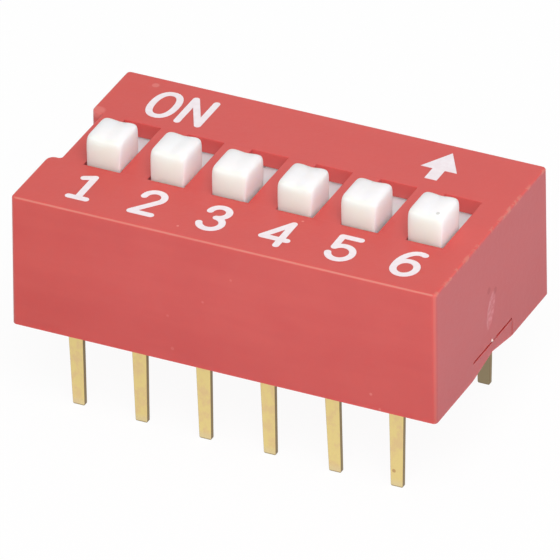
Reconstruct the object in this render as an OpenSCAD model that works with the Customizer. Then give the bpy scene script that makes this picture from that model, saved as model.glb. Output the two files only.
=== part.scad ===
// Six-way slide DIP switch.
// X runs along the row of switches, from switch 1 to switch 6.
// Y runs across the body, from the numbers to the ON side.
// Z = 0 is the seating face, and the pins reach below it.

/* [Pins] */
// Distance from one switch to the next
pitch = 2.54; // [2.2:0.01:3.2]
// Distance between the two rows of pins
row_spacing = 7.62; // [6.3:0.01:10.2]
// Length of the pins below the seating face
pin_len = 3.7; // [2.5:0.1:6]
// Width of a pin where it leaves the housing
pin_w = 0.58; // [0.45:0.01:0.75]
// Width of a pin at its tip
pin_tip_w = 0.46; // [0.35:0.01:0.6]
// Radius of the two corners at a pin's tip
pin_tip_r = 0.1; // [0.02:0.01:0.15]
// How far the tip of front pin 1 leans towards the back
first_pin_lean = 0.23; // [0:0.01:0.4]
// How far the tip of front pin 6 leans towards the back
last_pin_lean = -0.07; // [-0.3:0.01:0.3]

/* [Housing] */
// Height of the housing above the seating face
housing_h = 5.33; // [4.4:0.01:7]
// Distance from a pin row to the housing's long side
row_inset = 1.12; // [1:0.01:1.6]
// Distance from the last pin's centre to the housing's end
end_margin = 2.025; // [1.95:0.005:3]
// Thickness of the cover's long walls at the seating face
side_wall = 0.75; // [0.5:0.01:0.9]
// Thickness of the cover's left end wall, which holds the key notch
left_wall = 1.04; // [0.8:0.01:1.4]
// Thickness of the cover's right end wall
right_wall = 0.76; // [0.5:0.01:0.9]
// Thickness of the cover's top
top_wall = 0.6; // [0.4:0.01:0.9]
// How far each outer wall leans in from the seating face to the top
draft = 0.055; // [0:0.005:0.1]
// Radius of the cover's upright and top edges
edge_r = 0.15; // [0.05:0.01:0.3]

/* [Key notch and gate mark] */
// Width of the key notch in the left end
notch_w = 3.57; // [2:0.01:5]
// Depth of the key notch
notch_depth = 0.48; // [0.2:0.01:0.6]
// Radius of the notch's outer edges
notch_r = 0.2; // [0.05:0.01:0.3]
// Radius of the notch's inner corners
notch_in_r = 0.1; // [0.05:0.01:0.15]
// Width of the oval gate mark in the right end
mark_w = 0.8; // [0.4:0.05:1.2]
// Height of the oval gate mark
mark_h = 1.7; // [1:0.05:2]
// Height of the gate mark's centre above the seating face
mark_z = 2.25; // [1.8:0.05:3]
// Distance of the gate mark's centre from the body's middle line
mark_y = -0.15; // [-1:0.05:1]
// Depth of the gate mark
mark_depth = 0.05; // [0.02:0.01:0.1]

/* [Slots] */
// Width of a slot in the cover's top
slot_w = 1.44; // [1.1:0.01:1.6]
// Distance of the slots' middle from the body's middle line
slot_shift = -0.08; // [-0.2:0.01:0.2]

/* [Switches] */
// Play of a knob in its slot, on each side
knob_gap = 0.04; // [0.02:0.005:0.1]
// Length of a knob along its travel
knob_l = 1.55; // [1.2:0.01:1.9]
// Height of a knob above the cover's top
knob_h = 1.25; // [0.8:0.01:2]
// Radius of a knob's top edges
knob_top_r = 0.28; // [0.1:0.01:0.35]
// Radius of a knob's upright edges
knob_side_r = 0.16; // [0.05:0.01:0.25]
// How far each side of a knob leans in towards its top
knob_draft = 0.03; // [0:0.005:0.06]
// Depth of the shallow dish across a knob's top
dish_depth = 0.05; // [0.02:0.01:0.1]
// Radius of the dish
dish_r = 1.4; // [1:0.1:3]
// Thickness of the slider plate under the cover's top
plate_t = 0.55; // [0.4:0.01:0.7]
// How far the slider plate passes the end of the slot
plate_lap = 0.12; // [0.05:0.01:0.3]
// Room left between the slider plate's end and the cover's wall
plate_end_gap = 0.43; // [0.3:0.01:0.7]
// Length of the two runners under the slider plate
runner_l = 2.9; // [2:0.05:3.2]
// Thickness of a runner
runner_t = 0.34; // [0.25:0.01:0.4]

/* [Base] */
// Thickness of the base's floor
floor_t = 2.45; // [1.9:0.01:2.95]
// Thickness of the ribs between two switches
rib_t = 0.36; // [0.25:0.01:0.5]
// Height of the ledge that a terminal's shoulders rest on
ledge_z = 1; // [0.8:0.05:1.3]
// Width of the tongue in each end wall
tongue_w = 3.45; // [2.5:0.05:3.5]
// Height of the tongue
tongue_h = 0.68; // [0.55:0.01:1]
// Height of the slit left over the tongue
slit_h = 0.07; // [0.04:0.01:0.15]
// Rise of the shallow pointed arch under the tongue
arch_h = 0.3; // [0.1:0.01:0.4]
// How far the arch reaches in from the base's end
arch_depth = 1.6; // [0.5:0.1:2]
// How far the latch noses stand out of the base's long sides
nose_h = 0.12; // [0.05:0.01:0.15]
// Height of the sloping lead-in under a latch nose's ridge
nose_lead = 0.36; // [0.2:0.02:0.5]
// Length of a latch nose
nose_l = 1.1; // [0.6:0.05:1.5]
// Height of the latch noses' ridge above the seating face
nose_z = 1.5; // [1.2:0.05:1.8]
// Room around a pin in the sealing pocket under the base
pocket_gap = 0.15; // [0.08:0.01:0.2]
// Depth of the sealing pocket
pocket_h = 0.3; // [0.1:0.05:0.6]

/* [Contacts] */
// Thickness of the terminals' metal strip
strip_t = 0.2; // [0.15:0.01:0.25]
// Inside radius of a terminal's bend
bend_r = 0.15; // [0.08:0.01:0.2]
// Width of a terminal's contact pad
pad_w = 1.2; // [0.9:0.01:1.4]
// Gap between the front and the rear contact pads
pad_gap = 0.65; // [0.4:0.01:0.8]
// How far the front pad passes the resting point of the contact
pad_lap = 0.35; // [0.2:0.01:0.4]
// Thickness of the sliding contact spring
spring_t = 0.1; // [0.06:0.01:0.12]
// Width of the sliding contact spring
spring_w = 1.1; // [0.8:0.01:1.2]
// Length of the spring's flat middle
spring_flat = 0.8; // [0.7:0.05:1]
// Radius of the spring's two contact domes
dome_r = 0.2; // [0.15:0.01:0.25]
// How far the spring's ends rise above the domes' centres
tail_rise = 0.35; // [0.2:0.05:0.5]
// How far the spring's ends reach out past the domes
tail_out = 0.2; // [0.1:0.05:0.3]
// Width of the slit that splits each end of the spring
spring_slit = 0.16; // [0.1:0.01:0.25]
// Diameter of the peg that holds the spring
peg_d = 0.44; // [0.3:0.01:0.5]

/* [Clearances] */
// Gap between fixed parts that are pushed together
fit_gap = 0.02; // [0.01:0.005:0.04]
// Gap between a slider and what it slides on
run_gap = 0.02; // [0.01:0.005:0.04]
// Gap between a slider and the ribs beside it
side_gap = 0.05; // [0.03:0.005:0.08]
// Gap between a knob and the end of its slot
stop_gap = 0.02; // [0.01:0.005:0.05]

/* [Hidden] */
$fn = 64;
COUNT = 6;
eps = 0.01;
// How far a cut passes the surface that it opens
over = 1;
blend_fn = 32;
mid = (COUNT - 1) / 2;
red = "#d05a56";
nylon = "#f2f1ec";
gold = "#dcc583";

// Housing
body_l = (COUNT - 1) * pitch + 2 * end_margin;
body_w = row_spacing + 2 * row_inset;
row_y = row_spacing / 2;
cavity_y = body_w / 2 - side_wall;
cavity_left = -body_l / 2 + left_wall;
cavity_right = body_l / 2 - right_wall;
ceiling_z = housing_h - top_wall;
slot_row_x = (cavity_left + cavity_right) / 2;

// Travel of a switch. The plate's far end is one and a half strokes from the middle,
// plus half a knob and its lap, and the rest of the cavity is its end gap.
stroke = (cavity_y - plate_end_gap - plate_lap - knob_l / 2 - abs(slot_shift)) / 1.5;
slot_l = knob_l + stroke + 2 * stop_gap;
slot_front = slot_shift - slot_l / 2;
off_y = slot_front + stop_gap + knob_l / 2;
knob_w = slot_w - 2 * knob_gap;
plate_w = pitch - rib_t - 2 * side_gap;
plate_l = 2 * stroke + knob_l + 2 * plate_lap;
plate_top = ceiling_z - run_gap;
plate_under = plate_top - plate_t;

// Terminals
pad_end = off_y + stroke / 2 + pad_lap;
shank_under = floor_t - strip_t - bend_r;
bend_out = bend_r + strip_t;

// Sliding contact spring
dome_y = stroke / 2;
dome_z = floor_t + run_gap + dome_r;
spring_top = plate_under - fit_gap;
spring_mid = spring_top - spring_t / 2;
peg_h = spring_t + 2 * fit_gap;
dome_mid_r = dome_r - spring_t / 2;
arc_steps = 8;

function pin_x(i) = (i - mid) * pitch;
function slot_x(i) = slot_row_x + pin_x(i);
function pin_lean(i) = first_pin_lean + (last_pin_lean - first_pin_lean) * i / (COUNT - 1);

// A box from one corner to the opposite corner
module span(low, high) {
    translate(low) cube(high - low);
}

// A flat outline in Y and Z, made solid along X around the middle
module across_x(w) {
    rotate([90, 0, 90]) translate([0, 0, -w / 2]) linear_extrude(w) children();
}

// A flat outline in X and Z, made solid along Y between two planes
module along_y(low, high) {
    translate([0, high, 0]) rotate([90, 0, 0]) linear_extrude(high - low) children();
}

// A corner post with a round shoulder, from z = 0 up to h
module post(r_foot, r_top, h, lean_x, lean_y) {
    cylinder(r = r_foot, h = eps, $fn = blend_fn);
    translate([lean_x, lean_y, h - r_top])
        rotate_extrude($fn = blend_fn) intersection() {
            circle(r_top, $fn = blend_fn);
            square(r_top);
        }
}

// A block with round upright edges, round top edges and sides that lean in
module soft_block(l, w, h, r_foot, r_top, lean) {
    hull() for (sx = [-1, 1], sy = [-1, 1])
        translate([sx * (l / 2 - r_foot), sy * (w / 2 - r_foot), 0])
            post(r_foot, r_top, h, sx * (r_foot - r_top - lean), sy * (r_foot - r_top - lean));
}

// Window in an end wall that the base's tongue fills
module tongue_window(x_low, x_high) {
    half = tongue_w / 2 + fit_gap;
    span([x_low, -half, -eps], [x_high, half, tongue_h + slit_h]);
}

// Plan of the key notch, from the end face at x = 0 inwards
module notch_plan() {
    half = notch_w / 2;
    translate([-over, -half]) square([over + notch_depth - notch_in_r, notch_w]);
    translate([-over, notch_in_r - half]) square([over + notch_depth, notch_w - 2 * notch_in_r]);
    for (s = [0, 1]) mirror([0, s]) {
        translate([notch_depth - notch_in_r, half - notch_in_r]) circle(notch_in_r);
        difference() {
            translate([-over, half - eps]) square([over + notch_r, notch_r + eps]);
            translate([notch_r, half + notch_r]) circle(notch_r);
        }
    }
}

// Key notch over the cover's full height, leaning in with the end wall
module key_notch() {
    translate([-body_l / 2, 0, 0]) rotate([0, atan(draft / housing_h), 0])
        translate([0, 0, -over]) linear_extrude(housing_h + 2 * over) notch_plan();
}

// Shallow upright oval in the right end
module gate_mark() {
    straight = mark_h - mark_w;
    x = body_l / 2 - draft * mark_z / housing_h - mark_depth;
    translate([x, mark_y, mark_z]) rotate([90, 0, 90]) linear_extrude(over) {
        square([mark_w, straight], center = true);
        for (s = [-1, 1]) translate([0, s * straight / 2]) circle(mark_w / 2);
    }
}

// The four latch noses, or the pockets for them with a clearance around them
module latches(gap) {
    for (x = [-pitch, pitch], s = [0, 1]) mirror([0, s, 0])
        translate([x, 0, 0]) across_x(nose_l + 2 * gap)
            polygon([
                [cavity_y - fit_gap - eps, nose_z - nose_lead - gap],
                [cavity_y - fit_gap + nose_h + gap, nose_z],
                [cavity_y - fit_gap - eps, nose_z + nose_h + gap]
            ]);
}

// Moulded cover: the outer shell with its slots, notch and tongue windows
module cover() {
    color(red) difference() {
        soft_block(body_l, body_w, housing_h, edge_r, edge_r, draft);
        span([cavity_left, -cavity_y, -eps], [cavity_right, cavity_y, ceiling_z]);
        for (i = [0:COUNT - 1])
            translate([slot_x(i) - slot_w / 2, slot_front, ceiling_z - eps])
                cube([slot_w, slot_l, top_wall + 2 * eps]);
        key_notch();
        gate_mark();
        tongue_window(-body_l / 2 - eps, cavity_left + eps);
        tongue_window(cavity_right - eps, body_l / 2 + eps);
        latches(fit_gap);
    }
}

// Seat in the base for one terminal: pad groove, shank slot, pin hole and sealing pocket
module terminal_seat(i, inner_y) {
    pad_half = pad_w / 2 + fit_gap;
    slot_half = strip_t / 2 + fit_gap;
    translate([slot_x(i), 0, 0]) {
        span([-pad_half, -row_y - slot_half, floor_t - strip_t],
            [pad_half, inner_y + fit_gap, floor_t + eps]);
        span([-pad_half, -row_y - slot_half, shank_under],
            [pad_half, -row_y + strip_t / 2 + bend_r + fit_gap, floor_t]);
        span([-pad_half, -row_y - slot_half, ledge_z], [pad_half, -row_y + slot_half, floor_t]);
    }
    translate([pin_x(i), -row_y, -eps]) {
        span([-pin_w / 2 - fit_gap, -slot_half, 0], [pin_w / 2 + fit_gap, slot_half, ledge_z + 2 * eps]);
        pocket_x = pin_w / 2 + pocket_gap;
        pocket_y = strip_t / 2 + pocket_gap;
        span([-pocket_x, -pocket_y, 0], [pocket_x, pocket_y, pocket_h + eps]);
    }
}

// Moulded base: floor with terminal seats, ribs, tongues and latch noses
module base() {
    x_low = cavity_left + fit_gap;
    x_high = cavity_right - fit_gap;
    y_high = cavity_y - fit_gap;
    face_left = -body_l / 2 + notch_depth + fit_gap;
    face_right = body_l / 2 - fit_gap;
    arch_half = tongue_w / 2 - fit_gap;
    arch_in = arch_depth / 2 - eps;
    color(red) difference() {
        union() {
            span([x_low, -y_high, 0], [x_high, y_high, floor_t]);
            span([face_left, -tongue_w / 2, 0], [face_right, tongue_w / 2, tongue_h]);
            for (i = [0:COUNT - 2])
                translate([slot_x(i) + pitch / 2, 0, 0])
                    span([-rib_t / 2, -y_high, floor_t - eps], [rib_t / 2, y_high, plate_top]);
            latches(0);
        }
        for (i = [0:COUNT - 1]) {
            terminal_seat(i, pad_end);
            mirror([0, 1, 0]) terminal_seat(i, -pad_end - pad_gap);
        }
        for (x = [face_left + arch_in, face_right - arch_in])
            translate([x, 0, 0]) across_x(arch_depth)
                polygon([[-arch_half, -eps], [arch_half, -eps], [0, arch_h]]);
    }
}

// Side view of the front terminal's strip: pad, bend, shank and leaning pin
module strip_side(inner_y, lean) {
    outer = -row_y - strip_t / 2;
    inner = -row_y + strip_t / 2;
    difference() {
        union() {
            polygon([
                [outer, floor_t], [outer, 0], [outer + lean, -pin_len], [inner + lean, -pin_len],
                [inner, 0], [inner, floor_t - strip_t], [inner_y, floor_t - strip_t], [inner_y, floor_t]
            ]);
            translate([inner - eps, shank_under]) square(bend_r + eps);
        }
        translate([inner + bend_r, shank_under]) {
            circle(bend_r);
            difference() {
                translate([-bend_out - over, 0]) square(bend_out + over);
                circle(bend_out);
            }
        }
    }
}

// Front view of a terminal's strip: wide down to the shoulders, then a tapered pin
module strip_front(i) {
    tip = pin_tip_w / 2;
    pad_off = slot_x(i) - pin_x(i);
    translate([pin_x(i), 0]) {
        polygon([
            [pad_off - pad_w / 2, floor_t], [pad_off - pad_w / 2, ledge_z], [-pin_w / 2, ledge_z],
            [-pin_w / 2, 0], [-tip, pin_tip_r - pin_len], [pin_tip_r - tip, -pin_len],
            [tip - pin_tip_r, -pin_len], [tip, pin_tip_r - pin_len], [pin_w / 2, 0],
            [pin_w / 2, ledge_z], [pad_off + pad_w / 2, ledge_z], [pad_off + pad_w / 2, floor_t]
        ]);
        for (s = [-1, 1]) translate([s * (tip - pin_tip_r), pin_tip_r - pin_len]) circle(pin_tip_r);
    }
}

// Stamped terminal, from its contact pad down to its pin
module terminal(i, inner_y, lean) {
    color(gold) intersection() {
        translate([slot_x(i), 0, 0]) across_x(2 * pad_w) strip_side(inner_y, lean);
        along_y(-row_spacing, 0) strip_front(i);
    }
}

module front_terminal(i) {
    terminal(i, pad_end, pin_lean(i));
}

module rear_terminal(i) {
    mirror([0, 1, 0]) terminal(i, -pad_end - pad_gap, 0);
}

// Slider with its knob, shown in the off position
module actuator(i) {
    half = plate_w / 2;
    color(nylon) translate([slot_x(i), off_y, 0]) {
        difference() {
            translate([0, 0, plate_top - eps])
                soft_block(knob_w, knob_l, housing_h + knob_h - plate_top + eps,
                    knob_side_r, knob_top_r, knob_draft);
            translate([0, 0, housing_h + knob_h - dish_depth + dish_r])
                rotate([90, 0, 0]) cylinder(r = dish_r, h = 2 * knob_l, center = true);
        }
        span([-half, -plate_l / 2, plate_under], [half, plate_l / 2, plate_top]);
        for (s = [0, 1]) mirror([s, 0, 0])
            span([half - runner_t, -runner_l / 2, floor_t + run_gap],
                [half, runner_l / 2, plate_under + eps]);
        translate([0, 0, plate_under - peg_h]) cylinder(d = peg_d, h = peg_h + eps);
    }
}

// Middle line of one half of the spring, from the end of its flat out to its tail
function half_path() =
    let (foot = [spring_flat / 2, spring_mid], slope = atan2(spring_mid - dome_z, dome_y - foot[0]))
    concat(
        [foot],
        [for (k = [0:arc_steps])
            let (a = 180 + slope * 0.5 + (180 - slope) * k / arc_steps)
            [dome_y + dome_mid_r * cos(a), dome_z + dome_mid_r * sin(a)]],
        [[dome_y + dome_mid_r + tail_out, dome_z + tail_rise]]
    );

// Middle line of the whole spring, from one tail to the other
function spring_path() =
    let (half = half_path(), last = len(half) - 1)
    concat([for (k = [last:-1:0]) [-half[k][0], half[k][1]]], half);

// Unit direction square to the path at point k
function path_normal(p, k) =
    let (d = p[min(k + 1, len(p) - 1)] - p[max(k - 1, 0)])
    [-d[1], d[0]] / norm(d);

// Side view of the spring: the path with its thickness
module spring_side() {
    p = spring_path();
    n = [for (k = [0:len(p) - 1]) path_normal(p, k) * spring_t / 2];
    upper = [for (k = [0:len(p) - 1]) p[k] + n[k]];
    lower = [for (k = [len(p) - 1:-1:0]) p[k] - n[k]];
    polygon(concat(upper, lower));
}

// Bridging contact spring, held on the slider's peg
module bridge_contact(i) {
    slit_y = spring_flat / 2;
    color(gold) translate([slot_x(i), off_y, 0]) difference() {
        across_x(spring_w) spring_side();
        translate([0, 0, spring_mid])
            cylinder(d = peg_d + 2 * fit_gap, h = over, center = true);
        for (s = [0, 1]) mirror([0, s, 0])
            span([-spring_slit / 2, slit_y, floor_t], [spring_slit / 2, plate_l, plate_under]);
    }
}

cover();
base();
for (i = [0:COUNT - 1]) actuator(i);
for (i = [0:COUNT - 1]) bridge_contact(i);
for (i = [0:COUNT - 1]) front_terminal(i);
for (i = [0:COUNT - 1]) rear_terminal(i);
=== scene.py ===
import math

import bpy
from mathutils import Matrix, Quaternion, Vector


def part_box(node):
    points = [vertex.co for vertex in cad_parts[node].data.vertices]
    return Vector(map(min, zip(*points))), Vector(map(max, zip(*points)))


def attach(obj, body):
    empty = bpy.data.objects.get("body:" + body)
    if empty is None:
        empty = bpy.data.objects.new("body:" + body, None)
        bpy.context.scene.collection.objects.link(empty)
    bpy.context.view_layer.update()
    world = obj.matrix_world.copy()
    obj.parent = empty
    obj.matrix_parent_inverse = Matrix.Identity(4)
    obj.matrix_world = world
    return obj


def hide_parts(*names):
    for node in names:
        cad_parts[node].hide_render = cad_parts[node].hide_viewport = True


# A slide switch with six positions for a circuit board: a red cover on a red base, six white
# sliders, two rows of gold pins, and white print.

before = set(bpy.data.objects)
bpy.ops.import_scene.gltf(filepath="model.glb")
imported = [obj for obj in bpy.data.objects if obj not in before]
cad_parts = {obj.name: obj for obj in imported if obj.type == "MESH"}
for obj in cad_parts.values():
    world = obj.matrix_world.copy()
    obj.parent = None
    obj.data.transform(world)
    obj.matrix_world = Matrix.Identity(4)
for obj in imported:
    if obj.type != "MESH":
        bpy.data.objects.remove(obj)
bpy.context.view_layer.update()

# Pieces are shaped in millimetres and made metres when they are finished.
MM = 0.001
# Two places this near to each other are the same place, and points this near are merged.
NEAR = 1e-3
MERGE = 1e-4
# How far a cutting block reaches out of a piece, and how far joined shapes reach into each other
OVER = 1.0
LAP = 0.1
# The switches in the row, and the spacing of their pins
COUNT = 6
PITCH = 2.54


def box_mm(node):
    """Lowest and highest corners of a CAD node, in millimetres."""
    low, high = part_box(node)
    return low / MM, high / MM


# Housing: its faces lean in towards the top by the draft, the left end by less
COVER_HIGH = box_mm("cover")[1]
BASE_LOW, BASE_HIGH = box_mm("base")
HALF_L = COVER_HIGH.x
HALF_W = COVER_HIGH.y
HEIGHT = COVER_HIGH.z
DRAFT = 0.055
LEFT_DRAFT = 0.02
# Its upright corners, the rim of its top and its lower edges are rounded
CORNER_R = 0.17
RIM_R = 0.095
FOOT_R = 0.04
# Its walls, and the cavity between them
SIDE_WALL = 0.75
LEFT_WALL = 1.04
RIGHT_WALL = 0.76
TOP_WALL = 0.6
CEILING = HEIGHT - TOP_WALL
CAVITY_Y = HALF_W - SIDE_WALL
CAVITY_LEFT = LEFT_WALL - HALF_L
CAVITY_RIGHT = HALF_L - RIGHT_WALL
# The gap between pieces that fit into each other, and between faces that nearly touch
FIT_GAP = 0.02
SKIM_GAP = 0.004

# Key notch in the left end, with its outer and its inner corners' rounding
NOTCH_W = 3.4
NOTCH_DEPTH = 0.48
NOTCH_END = NOTCH_DEPTH - HALF_L
NOTCH_R = 0.32
NOTCH_IN_R = 0.1

# Gate mark in the right end: an oval that tilts back as it rises, a very shallow dip
MARK_W = 0.7
MARK_H = 1.5
MARK_Y = -0.13
MARK_Z = 2.1
MARK_TILT = 0.27
MARK_DEPTH = 0.03
MARK_R = 0.5

# Torn nub in the right end, and the skin of plastic at it, measured from the nub's middle
NUB_Y = -0.08
NUB_UP = 0.02
NUB_R = 0.05
SKIN_OUT = 0.03
SKIN_IN = 0.12
SKIN_FRONT = 0.04
SKIN_BACK = 0.46

# Slots
SLOT_ROW_X = (CAVITY_LEFT + CAVITY_RIGHT) / 2
SLOT_W = 1.44
SLOT_L = 3.44
SLOT_SHIFT = -0.08
SLOT_RIM_R = 0.03

# Knob: its size at the slot, how much it flares on each side, the depth of its root in the
# plate, and the height of its head
PLATE_LOW, PLATE_HIGH = box_mm("actuator_1")
SLIDER_Y = (PLATE_LOW.y + PLATE_HIGH.y) / 2
KNOB_L = 1.62
KNOB_W = 1.32
KNOB_FLARE = 0.045
KNOB_ROOT = 0.35
HEAD_H = 0.34
# How far the loops that hold its edges firm are from them: at its foot, its head and its top
FOOT_EDGE = 0.17
HEAD_EDGE = 0.26
TOP_EDGE = 0.46
# Its dish leaves a rim and is deeper along its middle line, and its front lip is drawn back
DISH_RIM = 0.2
DISH_DEPTH = 0.045
LINE_DEPTH = 0.055
LIP_BACK = 0.06
LIP_DOWN = 0.05

# Plate of a slider, its two runners, and the peg for its spring
RUN_GAP = 0.02
PLATE_TOP = CEILING - RUN_GAP
PLATE_T = 0.55
PLATE_UNDER = PLATE_TOP - PLATE_T
PLATE_R = 0.05
RUNNER_L = 2.9
RUNNER_T = 0.34
RUNNER_R = 0.04
PEG_R = 0.22
PEG_H = 0.14

# Each slider's play: how far it sits to the right and to the back in its slot, and how much
# lower its head is. The head starts at PLAY_FROM over the cover.
PLAY = [
    (0.05, 0.01, 0.0),
    (0.058, -0.01, -0.04),
    (-0.05, -0.01, 0.07),
    (-0.01, 0.0, 0.04),
    (-0.055, 0.0, 0.04),
    (0.0, 0.015, -0.01),
]
PLAY_FROM = 0.4

# Base: its floor, the ribs between the switches, and the tongues with the slits over them
FLOOR_T = 2.45
BASE_R = 0.03
RIB_T = 0.36
TONGUE_W = 3.45
TONGUE_H = 0.68
SLIT_H = 0.105
SLIT_TOP = TONGUE_H + SLIT_H
# How far a tongue reaches into the cover's wall beside it, so that no light shows between them
OVERLAP = 0.002
# The arch under each tongue, and the marks that the ejector pins left
ARCH_H = 0.3
ARCH_HALF = TONGUE_W / 2 - FIT_GAP
ARCH_DEPTH = 1.6
EJECTOR_R = 0.6
EJECTOR_DEPTH = 0.04
# The latch noses, whose ridge is a small share of their foot's height, and the sealing pockets
# around the pins
NOSE_H = 0.12
NOSE_LEAD = 0.36
NOSE_L = 1.1
NOSE_Z = 1.5
NOSE_RIDGE = 0.02
POCKET_GAP = 0.15
POCKET_H = 0.3

# Terminals: strips with a wide pad and shank, and a pin that tapers from its shoulders down
FRONT_LOW, FRONT_HIGH = box_mm("front_terminal_1")
REAR_LOW = box_mm("rear_terminal_1")[0]
ROW_Y = 3.81
STRIP_T = 0.2
STRIP_R = 0.045
BEND_R = 0.15
LEDGE_Z = 1.0
SHOULDER_H = 0.02
PAD_W = 1.2
PIN_W = 0.6
PIN_TIP_W = 0.48
PIN_TIP_R = 0.06
PIN_END = FRONT_LOW.z
# How far the tip of each front pin stands off to the right and to the back
LEANS = [(-0.07, 0.32), (-0.04, 0.2), (0.02, 0.09), (0.03, 0.11), (0.12, 0.0), (0.01, 0.0)]


def pin_x(i):
    """The middle of a switch's pins. The first switch is 0."""
    return (i - (COUNT - 1) / 2) * PITCH


def slot_x(i):
    """The middle of a switch's slot."""
    return SLOT_ROW_X + pin_x(i)


def end_face(z):
    """Where the right end's leaning face is at a height."""
    return HALF_L - DRAFT * z / HEIGHT


def side_face(z):
    """Where the front's leaning face is at a height."""
    return DRAFT * z / HEIGHT - HALF_W


# Middle of the torn nub, just above the slit in the right end
NUB = (end_face(SLIT_TOP), NUB_Y, SLIT_TOP + NUB_UP)


# ---------------------------------------------------------------- modelling


def pick_none():
    bpy.ops.object.select_all(action="DESELECT")


def activate(piece, *others):
    """Selects the pieces, with the first one active."""
    pick_none()
    for one in (piece, *others):
        one.select_set(True)
    bpy.context.view_layer.objects.active = piece


def placed(name):
    """Names the new primitive and puts its place into its mesh."""
    piece = bpy.context.object
    piece.name = name
    bpy.ops.object.transform_apply(location=True, rotation=True, scale=True)
    return piece


def block(low, high, name="block"):
    """A box from one corner to the opposite corner."""
    low, high = Vector(low), Vector(high)
    pick_none()
    bpy.ops.mesh.primitive_cube_add(size=1, location=(low + high) / 2)
    bpy.context.object.scale = high - low
    return placed(name)


def rod(radius, depth, middle, sides=48, name="rod"):
    """An upright round bar around its middle."""
    pick_none()
    bpy.ops.mesh.primitive_cylinder_add(vertices=sides, radius=radius, depth=depth, location=middle)
    return placed(name)


def pick(piece, kind, test):
    """Enters edit mode with the vertices, edges or faces that pass the test selected."""
    activate(piece)
    bpy.ops.object.mode_set(mode="EDIT")
    bpy.ops.mesh.select_mode(type=kind)
    bpy.ops.mesh.select_all(action="DESELECT")
    bpy.ops.object.mode_set(mode="OBJECT")
    mesh = piece.data
    points = [v.co for v in mesh.vertices]
    if kind == "VERT":
        for vertex in mesh.vertices:
            vertex.select = test(vertex.co)
    elif kind == "EDGE":
        for edge in mesh.edges:
            edge.select = test(*(points[k] for k in edge.vertices))
    else:
        for face in mesh.polygons:
            face.select = test(face.center, face.normal)
    bpy.ops.object.mode_set(mode="EDIT")


def done():
    """Leaves edit mode."""
    bpy.ops.object.mode_set(mode="OBJECT")


def round_edges(piece, test, radius, steps):
    """Rounds the edges whose two ends pass the test."""
    pick(piece, "EDGE", test)
    bpy.ops.mesh.bevel(offset=radius, segments=steps, affect="EDGES", clamp_overlap=True)
    done()


def anything(*parts):
    """Passes every vertex, edge and face."""
    return True


def faces_up(middle, normal):
    """Passes the faces that look up, and slightly leaning ones too."""
    return normal.z > 0.9


def is_upright(a, b):
    """Passes the edges that stand up, and slightly leaning ones too."""
    return abs((b - a).normalized().z) > 0.98


def at_height(a, b, z):
    """Passes the edges that lie at a height."""
    return abs(a.z - z) < NEAR and abs(b.z - z) < NEAR


def combine(piece, tools, operation):
    """Cuts the tools from the piece, or adds them to it, and removes them."""
    group = bpy.data.collections.new("tools")
    for tool in tools:
        group.objects.link(tool)
    activate(piece)
    step = piece.modifiers.new("combine", "BOOLEAN")
    step.operation = operation
    step.solver = "EXACT"
    step.operand_type = "COLLECTION"
    step.collection = group
    bpy.ops.object.modifier_apply(modifier=step.name)
    for tool in tools:
        bpy.data.objects.remove(tool)
    bpy.data.collections.remove(group)
    return piece


def cut(piece, *tools):
    """Cuts the tools from the piece."""
    return combine(piece, tools, "DIFFERENCE")


def add(piece, *others):
    """Joins the others to the piece."""
    return combine(piece, others, "UNION")


def apply_step(piece, kind, **settings):
    """Adds a modifier with its settings and applies it."""
    activate(piece)
    step = piece.modifiers.new(kind.lower(), kind)
    for key, value in settings.items():
        setattr(step, key, value)
    bpy.ops.object.modifier_apply(modifier=step.name)


# Faces that meet at less than this are shaded as one smooth surface.
SMOOTH_ANGLE = math.radians(32)


def finish_piece(piece, name, body, slot, material, *nodes):
    """Makes the piece metres, shades it, gives it its body and its material, and hides its CAD nodes.
    """
    activate(piece)
    piece.name = name
    piece.data.name = name
    piece.location *= MM
    piece.scale = (MM, MM, MM)
    bpy.ops.object.transform_apply(location=True, rotation=True, scale=True)
    bpy.ops.object.shade_smooth_by_angle(angle=SMOOTH_ANGLE)
    apply_step(piece, "WEIGHTED_NORMAL", keep_sharp=True, weight=80)
    piece.data.materials.clear()
    piece.data.materials.append(material)
    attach(piece, body)
    if nodes:
        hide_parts(*nodes)
    return piece


# ---------------------------------------------------------------- materials

# Red plastic: its darker and lighter tone on the cover and on the base, then the painted light on
# its top and its ends, its painted shade towards the foot and towards the left, and its wear and
# marks, among them painted highlights on the rims and the nub and painted shade in the slits
COVER_TONES = (0.590, 0.082, 0.078), (0.625, 0.098, 0.090)
BASE_TONES = (0.588, 0.082, 0.078), (0.622, 0.097, 0.089)
TOP_PAINTED_LIGHT_RED = (0.625, 0.070, 0.058)
END_SHADE_AND_SHEEN_RED = (0.505, 0.090, 0.097)
FOOT_SHADE = (0.94, 0.87, 0.87)
LEFT_SHADE = (0.97, 0.91, 0.87)
WORN_AND_HIGHLIT_RED = (0.60, 0.26, 0.205)
PALE_RED = (0.85, 0.45, 0.40)
FROSTED_RED = (0.62, 0.20, 0.22)
DARK_SPOT_AND_SHADE_RED = (0.36, 0.03, 0.03)
NUB_HIGHLIGHT_RED = (0.88, 0.66, 0.60)

# White nylon: its two tones, painted shade on its front and back faces, painted light on its
# side faces, and a grey for dust and for a spot of painted shade on it
NYLON_TONES = (0.885, 0.91, 0.90), (0.92, 0.945, 0.935)
NYLON_FRONT_SHADE = (0.79, 0.855, 0.78)
NYLON_SIDE_LIGHT = (0.90, 0.98, 0.96)
DUST_AND_SHADE_GREY = (0.25, 0.26, 0.24)

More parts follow.
